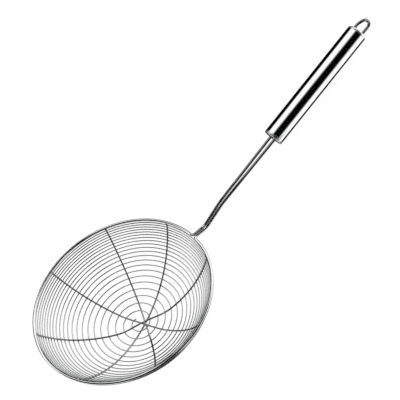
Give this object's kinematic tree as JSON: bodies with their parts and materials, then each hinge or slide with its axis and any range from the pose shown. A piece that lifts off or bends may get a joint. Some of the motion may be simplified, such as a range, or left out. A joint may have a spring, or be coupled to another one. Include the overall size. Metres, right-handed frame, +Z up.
{
  "type": "spider skimmer",
  "caption": "Kitchen skimmer: a round open bowl of spiral steel wire on crossed ribs and a rim ring, with a twin-wire neck into a tubular handle that ends in a hanging loop.",
  "frame": {"origin": "on the table, below the middle of the skimmer's length and width, as it lies on the underside of its bowl and the lower edge of the handle's rear cap", "axes": "+X towards the hanging loop, +Y to the left seen from behind the handle, +Z up from the table; the bowl's mouth faces up and leans towards the handle"},
  "size_m": [0.3464, 0.145, 0.0782],
  "materials": {
    "polished_wire": "polished stainless steel wire",
    "polished_tube": "mirror-polished stainless steel",
    "weld": "electropolished weld metal"
  },
  "bodies": {
    "root": {"rim_wire": "polished_wire", "rib_wire_1": "polished_wire", "rib_wire_2": "polished_wire", "rib_wire_3": "polished_wire", "rib_wire_4": "polished_wire", "mesh_wire": "polished_wire", "handle_tube": "polished_tube", "front_cap": "polished_tube", "rear_cap": "polished_tube", "hanging_loop": "polished_wire", "neck_weld_beads": "weld", "rib_weld_beads": "weld", "tail_weld_beads": "weld", "loop_weld_beads": "weld"}
  },
  "joints": []
}
